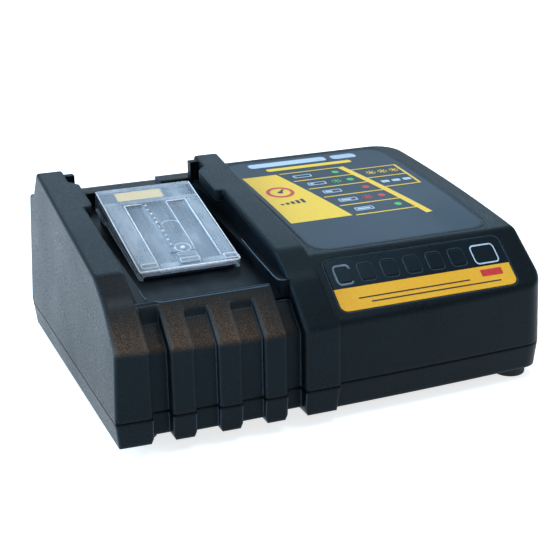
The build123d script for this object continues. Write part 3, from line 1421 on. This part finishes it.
def transformer_winding():
    """Taped winding around the centre leg on a bobbin with pins."""
    x, y = TRANSFORMER_AT
    low = board_top() + CORE_STANDOFF + CORE_LEG / 2 + FIT_GAP
    high = low + CORE_HEIGHT - CORE_LEG - 2 * FIT_GAP
    inner_x = CORE_LEG / 2 + FIT_GAP
    inner_y = CORE_DEPTH / 2 + FIT_GAP
    outer_x = CORE_LEG / 2 + CORE_WINDOW - TOUCH_GAP
    outer_y = CORE_DEPTH / 2 + CORE_WINDOW - TOUCH_GAP
    coil = Pos(x, y, (low + high) / 2) * extrude(
        RectangleRounded(2 * outer_x, 2 * outer_y, COIL_CORNER_R), (high - low) / 2, both=True)
    coil = coil - box_between(
        (x - inner_x, x + inner_x), (y - inner_y, y + inner_y), (low - 1, high + 1))
    for side in (-1, 1):
        edge_y = y + side * (CORE_DEPTH / 2 + CORE_WINDOW / 2)
        coil = coil + box_between(
            (x - outer_x, x + outer_x),
            (edge_y - BOBBIN_FOOT_W / 2, edge_y + BOBBIN_FOOT_W / 2), (board_top() + 1, low + 1))
        for index in range(BOBBIN_PIN_COUNT):
            pin_x = x + (index - (BOBBIN_PIN_COUNT - 1) / 2) * BOBBIN_PIN_PITCH
            coil = coil + upright(pin_x, edge_y, board_top(), low, LEG_R)
    return coil


def can(place, radius, height):
    """Upright electrolytic capacitor with a rolled groove and a scored top."""
    x, y = place
    low = board_top()
    body = upright(x, y, low, low + height, radius)
    body = fillet(body.edges(), CAN_EDGE_R)
    groove = Pos(x, y, low + CAN_GROOVE_Z) * Torus(radius + CAN_GROOVE_OUT, CAN_GROOVE_R)
    top = low + height
    score = cross_slots(x, y, radius * CAN_SCORE_REACH, CAN_SCORE_W, top - CAN_SCORE_W, top + 1)
    return body - groove - score


def input_capacitor():
    """Large mains capacitor."""
    return can(INPUT_CAP_AT, INPUT_CAP_R, INPUT_CAP_H)


def output_capacitors():
    """Row of low-voltage capacitors."""
    x, first_y = OUTPUT_CAP_AT
    row = Part()
    for index in range(OUTPUT_CAP_COUNT):
        row = row + can((x, first_y + index * OUTPUT_CAP_PITCH), OUTPUT_CAP_R, OUTPUT_CAP_H)
    return row


def common_mode_choke():
    """Ring choke standing on edge with two windings and a base."""
    x, y = CHOKE_AT
    z = board_top() + CHOKE_AXIS_Z
    solid = Cylinder(CHOKE_R, CHOKE_T) - Cylinder(CHOKE_BORE_R, CHOKE_T)
    ring = Pos(x, y, z) * Rot(90, 0, 0) * solid
    ring = fillet(ring.edges(), CHOKE_EDGE_R)
    turn = Rot(90, 0, 0) * Cylinder(CHOKE_WIRE_R, CHOKE_WIRE_LENGTH)
    for side in (-1, 1):
        for index in range(CHOKE_TURNS):
            angle = side * (CHOKE_FIRST_TURN_DEG + index * CHOKE_TURN_STEP_DEG)
            for radius in (CHOKE_WIRE_INNER_R, CHOKE_WIRE_OUTER_R):
                ring = ring + Pos(x, y, z) * Rot(0, angle, 0) * Pos(0, 0, radius) * turn
    base = box_between(
        (x - CHOKE_R, x + CHOKE_R), (y - CHOKE_BASE_DEPTH / 2, y + CHOKE_BASE_DEPTH / 2),
        (board_top(), board_top() + CHOKE_BASE_H))
    return ring + base


def bridge_rectifier():
    """Flat rectifier standing on four legs."""
    x, y = BRIDGE_AT
    z = board_top()
    body = box_between(
        (x - BRIDGE_WIDTH / 2, x + BRIDGE_WIDTH / 2), (y - BRIDGE_T / 2, y + BRIDGE_T / 2),
        (z + BRIDGE_Z[0], z + BRIDGE_Z[1]))
    body = chamfer(body.edges().filter_by(Axis.Z)[0], BRIDGE_CHAMFER)
    for index in range(BRIDGE_LEGS):
        leg_x = x + (index - (BRIDGE_LEGS - 1) / 2) * BRIDGE_LEG_PITCH
        body = body + upright(leg_x, y, z, z + BRIDGE_LEG_H, LEG_R)
    return body


def fuse():
    """Glass tube fuse with end caps in two clips."""
    x, y = FUSE_AT
    z = board_top() + FUSE_AXIS_Z
    tube = along_y(x, z, y - FUSE_LENGTH / 2, y + FUSE_LENGTH / 2, FUSE_R)
    for side in (-1, 1):
        cap_y = y + side * FUSE_CAP_AT
        tube = tube + along_y(x, z, cap_y - FUSE_CAP_L / 2, cap_y + FUSE_CAP_L / 2, FUSE_CAP_R)
        tube = tube + box_between(
            (x - FUSE_CLIP_W / 2, x + FUSE_CLIP_W / 2),
            (cap_y - FUSE_CLIP_L / 2, cap_y + FUSE_CLIP_L / 2), (board_top(), z))
    return tube


def heatsink(place, size, facing):
    """Upright plate with fins on one side; facing is the side the fins point to."""
    x, y = place
    length, height = size
    z = board_top()
    plate = box_between(
        (x - SINK_PLATE_T / 2, x + SINK_PLATE_T / 2), (y - length / 2, y + length / 2),
        (z, z + height))
    fins = int(length / SINK_FIN_PITCH)
    for index in range(fins):
        fin_y = y + (index - (fins - 1) / 2) * SINK_FIN_PITCH
        low, high = sorted((x, x + facing * SINK_FIN_REACH))
        plate = plate + box_between(
            (low, high), (fin_y - SINK_FIN_T / 2, fin_y + SINK_FIN_T / 2),
            (z + SINK_FIN_Z, z + height))
    return plate - along_x(x, y, z + DEVICE_HOLE_Z, SINK_HOLE_L, BOARD_SCREW_R + PILOT_GAP)


def along_x(x, y, z, length, radius):
    """Cylinder along X."""
    return Pos(x, y, z) * Rot(0, 90, 0) * Cylinder(radius, length)


def primary_heatsink():
    """Heatsink of the mains side."""
    return heatsink(PRIMARY_SINK_AT, PRIMARY_SINK_SIZE, -1)


def secondary_heatsink():
    """Heatsink of the battery side."""
    return heatsink(SECONDARY_SINK_AT, SECONDARY_SINK_SIZE, 1)


def power_device(sink, facing):
    """Three-leg device with a drilled tab, flat against a heatsink plate."""
    x = sink[0] - facing * SINK_PLATE_T / 2
    y = sink[1]
    z = board_top()
    across = (y - DEVICE_WIDTH / 2, y + DEVICE_WIDTH / 2)
    low, high = sorted((x, x - facing * DEVICE_TAB_T))
    tab = box_between((low, high), across, (z + DEVICE_TAB_Z[0], z + DEVICE_TAB_Z[1]))
    low, high = sorted((x, x - facing * DEVICE_BODY_T))
    body = box_between((low, high), across, (z + DEVICE_BODY_Z[0], z + DEVICE_BODY_Z[1]))
    device = tab + body
    for index in range(DEVICE_LEGS):
        leg_y = y + (index - (DEVICE_LEGS - 1) / 2) * DEVICE_LEG_PITCH
        device = device + upright(
            x - facing * DEVICE_LEG_X, leg_y, z, z + DEVICE_LEG_H, DEVICE_LEG_R)
    return device - along_x(x, y, z + DEVICE_HOLE_Z, SINK_HOLE_L, BOARD_SCREW_R + FIT_GAP)


def power_transistor():
    """Switching transistor of the mains side."""
    return power_device(PRIMARY_SINK_AT, -1)


def output_rectifier():
    """Rectifier of the battery side."""
    return power_device(SECONDARY_SINK_AT, 1)


def heatsink_screws():
    """Screws through the device tabs into the heatsinks."""
    screws = Part()
    z = board_top() + DEVICE_HOLE_Z
    for sink, facing in ((PRIMARY_SINK_AT, -1), (SECONDARY_SINK_AT, 1)):
        x = sink[0] - facing * (SINK_PLATE_T / 2 + DEVICE_TAB_T)
        y = sink[1]
        shank_x = x + facing * SINK_SCREW_LENGTH / 2
        shank = along_x(shank_x, y, z, SINK_SCREW_LENGTH, BOARD_SCREW_R)
        head_x = x - facing * SINK_SCREW_HEAD_H / 2
        head = along_x(head_x, y, z, SINK_SCREW_HEAD_H, SINK_SCREW_HEAD_R)
        head = chamfer(head.edges(), SINK_SCREW_CHAMFER)
        screws = screws + (shank + head)
    return screws


def relay():
    """Sealed relay."""
    x, y = RELAY_AT
    width, depth, height = RELAY_SIZE
    z = board_top()
    body = box_between(
        (x - width / 2, x + width / 2), (y - depth / 2, y + depth / 2), (z, z + height))
    return fillet(body.edges().filter_by(Axis.Z) + body.edges().group_by(Axis.Z)[-1], DEVICE_EDGE_R)


def buzzer():
    """Round buzzer with a sound hole."""
    x, y = BUZZER_AT
    top = board_top() + BUZZER_H
    body = upright(x, y, board_top(), top, BUZZER_R)
    body = fillet(body.edges().group_by(Axis.Z)[-1], DEVICE_EDGE_R)
    return body - upright(x, y, top - BUZZER_H / 2, top + 1, BUZZER_HOLE_R)


# ---------------------------------------------------------------- fan
def fan_span():
    """Y of the fan's front and rear faces."""
    return fan_front_y() - FAN_T, fan_front_y()


def fan_frame():
    """Square fan frame with a bore, three struts and a bearing post."""
    front, rear = fan_span()
    half = FAN_SIZE / 2
    frame = box_between((DOCK_X - half, DOCK_X + half), (front, rear), (FAN_Z - half, FAN_Z + half))
    frame = fillet(frame.edges().filter_by(Axis.Y), FAN_CORNER_R)
    frame = frame - along_y(DOCK_X, FAN_Z, front - 1, rear + 1, FAN_BORE_R)
    hub_low = rear - FAN_WALL / 2
    frame = frame + along_y(DOCK_X, FAN_Z, hub_low, rear, FAN_HUB_R)
    for index in range(FAN_STRUTS):
        angle = FAN_STRUT_START_DEG + index * 360 / FAN_STRUTS
        strut = Pos(DOCK_X, (hub_low + rear) / 2, FAN_Z) * Rot(0, angle, 0)
        reach = FAN_BORE_R - FAN_HUB_R + 2
        frame = frame + strut * Pos(0, 0, FAN_HUB_R - 1 + reach / 2) * Box(FAN_STRUT_W, FAN_WALL / 2, reach)
    for x, z in fan_screw_places():
        frame = frame - along_y(x, z, front - 1, rear + 1, FAN_SCREW_R + FIT_GAP)
    frame = frame + along_y(DOCK_X, FAN_Z, front + FAN_T / 2, hub_low + 0.5, FAN_SHAFT_R)
    return frame


def fan_rotor():
    """Fan hub with pitched blades, turning on the frame's bearing post."""
    front, rear = fan_span()
    hub_low = front + FAN_HUB_SETBACK
    hub_high = rear - FAN_WALL / 2 - TOUCH_GAP
    middle = (hub_low + hub_high) / 2
    hub = along_y(DOCK_X, FAN_Z, hub_low, hub_high, FAN_HUB_R)
    hub = fillet(hub.edges().group_by(Axis.Y)[0], FAN_HUB_EDGE_R)
    rotor = hub
    for index in range(FAN_BLADES):
        reach = FAN_BLADE_R - FAN_HUB_R + 1
        sheet = Rot(0, 0, FAN_BLADE_PITCH_DEG) * Box(FAN_BLADE_T, FAN_BLADE_CHORD, reach)
        blade_at = Pos(DOCK_X, middle, FAN_Z) * Rot(0, index * 360 / FAN_BLADES, 0)
        rotor = rotor + blade_at * Pos(0, 0, FAN_HUB_R - 1 + reach / 2) * sheet
    sweep_zone = along_y(DOCK_X, FAN_Z, hub_low, hub_high, FAN_BLADE_R)
    rotor = rotor & sweep_zone
    bore = along_y(
        DOCK_X, FAN_Z, front + FAN_T / 2 - TOUCH_GAP, rear, FAN_SHAFT_R + FAN_BEARING_GAP)
    return rotor - bore


def fan_screws():
    """Four long screws through the fan frame into the rear wall's bosses."""
    front, rear = fan_span()
    screws = Part()
    for x, z in fan_screw_places():
        head = along_y(x, z, front - FAN_SCREW_HEAD_H, front, FAN_SCREW_HEAD_R)
        head = fillet(head.edges().group_by(Axis.Y)[0], SCREW_HEAD_ROUND)
        shank = along_y(
            x, z, front - FIT_GAP, rear + FAN_STANDOFF - FAN_SCREW_END_GAP, FAN_SCREW_R)
        screws = screws + (head + shank)
    return screws


# ---------------------------------------------------------------- mains inlet
def inlet_recess(y_low, y_high):
    """Figure-of-eight recess of the inlet."""
    half = INLET_PIN_PITCH / 2
    recess = along_y(INLET_X - half, INLET_Z, y_low, y_high, INLET_RECESS_R)
    return recess + along_y(INLET_X + half, INLET_Z, y_low, y_high, INLET_RECESS_R)


def inlet_front():
    """Y of the outside of the inlet's flange."""
    return INLET_SEAT_Y + INLET_FLANGE_T


def mains_inlet():
    """Two-pin mains inlet: flange, body and figure-of-eight recess."""
    flange = box_between(
        (INLET_X - INLET_FLANGE_W / 2, INLET_X + INLET_FLANGE_W / 2),
        (INLET_SEAT_Y, inlet_front()),
        (INLET_Z - INLET_FLANGE_H / 2, INLET_Z + INLET_FLANGE_H / 2))
    flange = fillet(flange.edges().filter_by(Axis.Y), INLET_FLANGE_R)
    body = box_between(
        (INLET_X - INLET_BODY_W / 2, INLET_X + INLET_BODY_W / 2),
        (inlet_front() - INLET_BODY_L, INLET_SEAT_Y + 0.5),
        (INLET_Z - INLET_BODY_H / 2, INLET_Z + INLET_BODY_H / 2))
    inlet = flange + body - inlet_recess(inlet_front() - INLET_RECESS_DEPTH, inlet_front() + 1)
    for side in (-1, 1):
        inlet = inlet - along_y(
            INLET_X + side * INLET_PIN_PITCH / 2, INLET_Z,
            inlet_front() - INLET_BODY_L - 1, inlet_front(), INLET_PIN_R + INLET_PIN_GAP)
    return inlet


def inlet_pins():
    """Two round pins with solder ends inside the housing."""
    pins = Part()
    for side in (-1, 1):
        x = INLET_X + side * INLET_PIN_PITCH / 2
        pin = along_y(
            x, INLET_Z, inlet_front() - INLET_BODY_L - INLET_PIN_TAIL,
            inlet_front() - INLET_PIN_SETBACK, INLET_PIN_R)
        pins = pins + fillet(pin.edges().group_by(Axis.Y)[-1], INLET_PIN_TIP_R)
    return pins


# ---------------------------------------------------------------- feet, screws, wires
def rubber_feet():
    """Four round feet seated in the base."""
    feet = Part()
    for x, y in foot_places():
        foot = upright(x, y, 0, BODY_BOTTOM_Z + FOOT_EMBED, FOOT_R)
        feet = feet + fillet(foot.edges().group_by(Axis.Z)[0], FOOT_EDGE_R)
    return feet


def housing_screws():
    """Screws from below that join the shells."""
    screws = Part()
    for x, y in housing_boss_places():
        head = upright(x, y, SCREW_SEAT_Z - SCREW_HEAD_H, SCREW_SEAT_Z, SCREW_HEAD_R)
        head = fillet(head.edges().group_by(Axis.Z)[0], SCREW_HEAD_ROUND)
        low = SCREW_SEAT_Z - SCREW_HEAD_H
        shank = upright(x, y, low + SCREW_SOCKET_H, SCREW_SEAT_Z + SCREW_LENGTH, SCREW_R)
        socket = upright(x, y, low, low + SCREW_SOCKET_H, SCREW_SOCKET_R)
        screws = screws + (head - socket + shank)
    return screws


def wire(points, radius):
    """Round wire bent smoothly through points."""
    path = Spline(*points)
    profile = Plane(origin=path @ 0, z_dir=path % 0) * Circle(radius)
    return sweep(profile, path=path)


def tab_end(place):
    """World position just under a terminal's solder tab."""
    return (place * Pos(0, 0, -(BLOCK_DROP + TAB_DROP + LEAD_START_GAP))).position


def output_leads():
    """Leads from the power terminals to the main board."""
    leads = Part()
    places = terminal_planes()
    for place, board_y in zip((places[0], places[-1]), OUTPUT_LEAD_Y):
        start = tab_end(place)
        points = [
            (start.X, start.Y, start.Z),
            (start.X + OUTPUT_LEAD_SWAY, start.Y, start.Z - OUTPUT_LEAD_DROP)]
        for bend_x, bend_z in OUTPUT_LEAD_BENDS:
            points.append((bend_x, board_y, bend_z))
        points.append((BOARD_LEFT_X + OUTPUT_LEAD_END, board_y, board_top() + TOUCH_GAP))
        leads = leads + wire(points, OUTPUT_LEAD_R)
    return leads


def mains_leads():
    """Leads from the inlet pins to the main board."""
    (bend, fall), run = MAINS_LEAD_BENDS
    leads = Part()
    for side in (-1, 1):
        x = INLET_X + side * INLET_PIN_PITCH / 2
        start_y = inlet_front() - INLET_BODY_L - INLET_PIN_TAIL - MAINS_LEAD_R / 2
        points = [
            (x, start_y, INLET_Z), (x, start_y - bend, INLET_Z - fall),
            (x + side * MAINS_LEAD_SPREAD, start_y - run, board_top() + TOUCH_GAP)]
        leads = leads + wire(points, MAINS_LEAD_R)
    return leads


PARTS = {
    "upper_housing": upper_housing,
    "lower_housing": lower_housing,
    "dock_liner": dock_liner,
    "terminal_block": terminal_block,
    "positive_terminal": positive_terminal,
    "negative_terminal": negative_terminal,
    "signal_terminals": signal_terminals,
    "protective_cover": protective_cover,
    "cover_label": cover_label,
    "main_label": main_label,
    "indicator_film": indicator_film,
    "front_strip": front_strip,
    "indicator_light_guide": indicator_light_guide,
    "indicator_leds": indicator_leds,
    "indicator_board": indicator_board,
    "main_board": main_board,
    "board_screws": board_screws,
    "transformer_core": transformer_core,
    "transformer_winding": transformer_winding,
    "input_capacitor": input_capacitor,
    "output_capacitors": output_capacitors,
    "common_mode_choke": common_mode_choke,
    "bridge_rectifier": bridge_rectifier,
    "fuse": fuse,
    "primary_heatsink": primary_heatsink,
    "secondary_heatsink": secondary_heatsink,
    "power_transistor": power_transistor,
    "output_rectifier": output_rectifier,
    "heatsink_screws": heatsink_screws,
    "relay": relay,
    "buzzer": buzzer,
    "fan_frame": fan_frame,
    "fan_rotor": fan_rotor,
    "fan_screws": fan_screws,
    "mains_inlet": mains_inlet,
    "inlet_pins": inlet_pins,
    "rubber_feet": rubber_feet,
    "housing_screws": housing_screws,
    "output_leads": output_leads,
    "mains_leads": mains_leads,
}

os.makedirs("parts", exist_ok=True)
for name, make in PARTS.items():
    export_step(make(), f"parts/{name}.step")
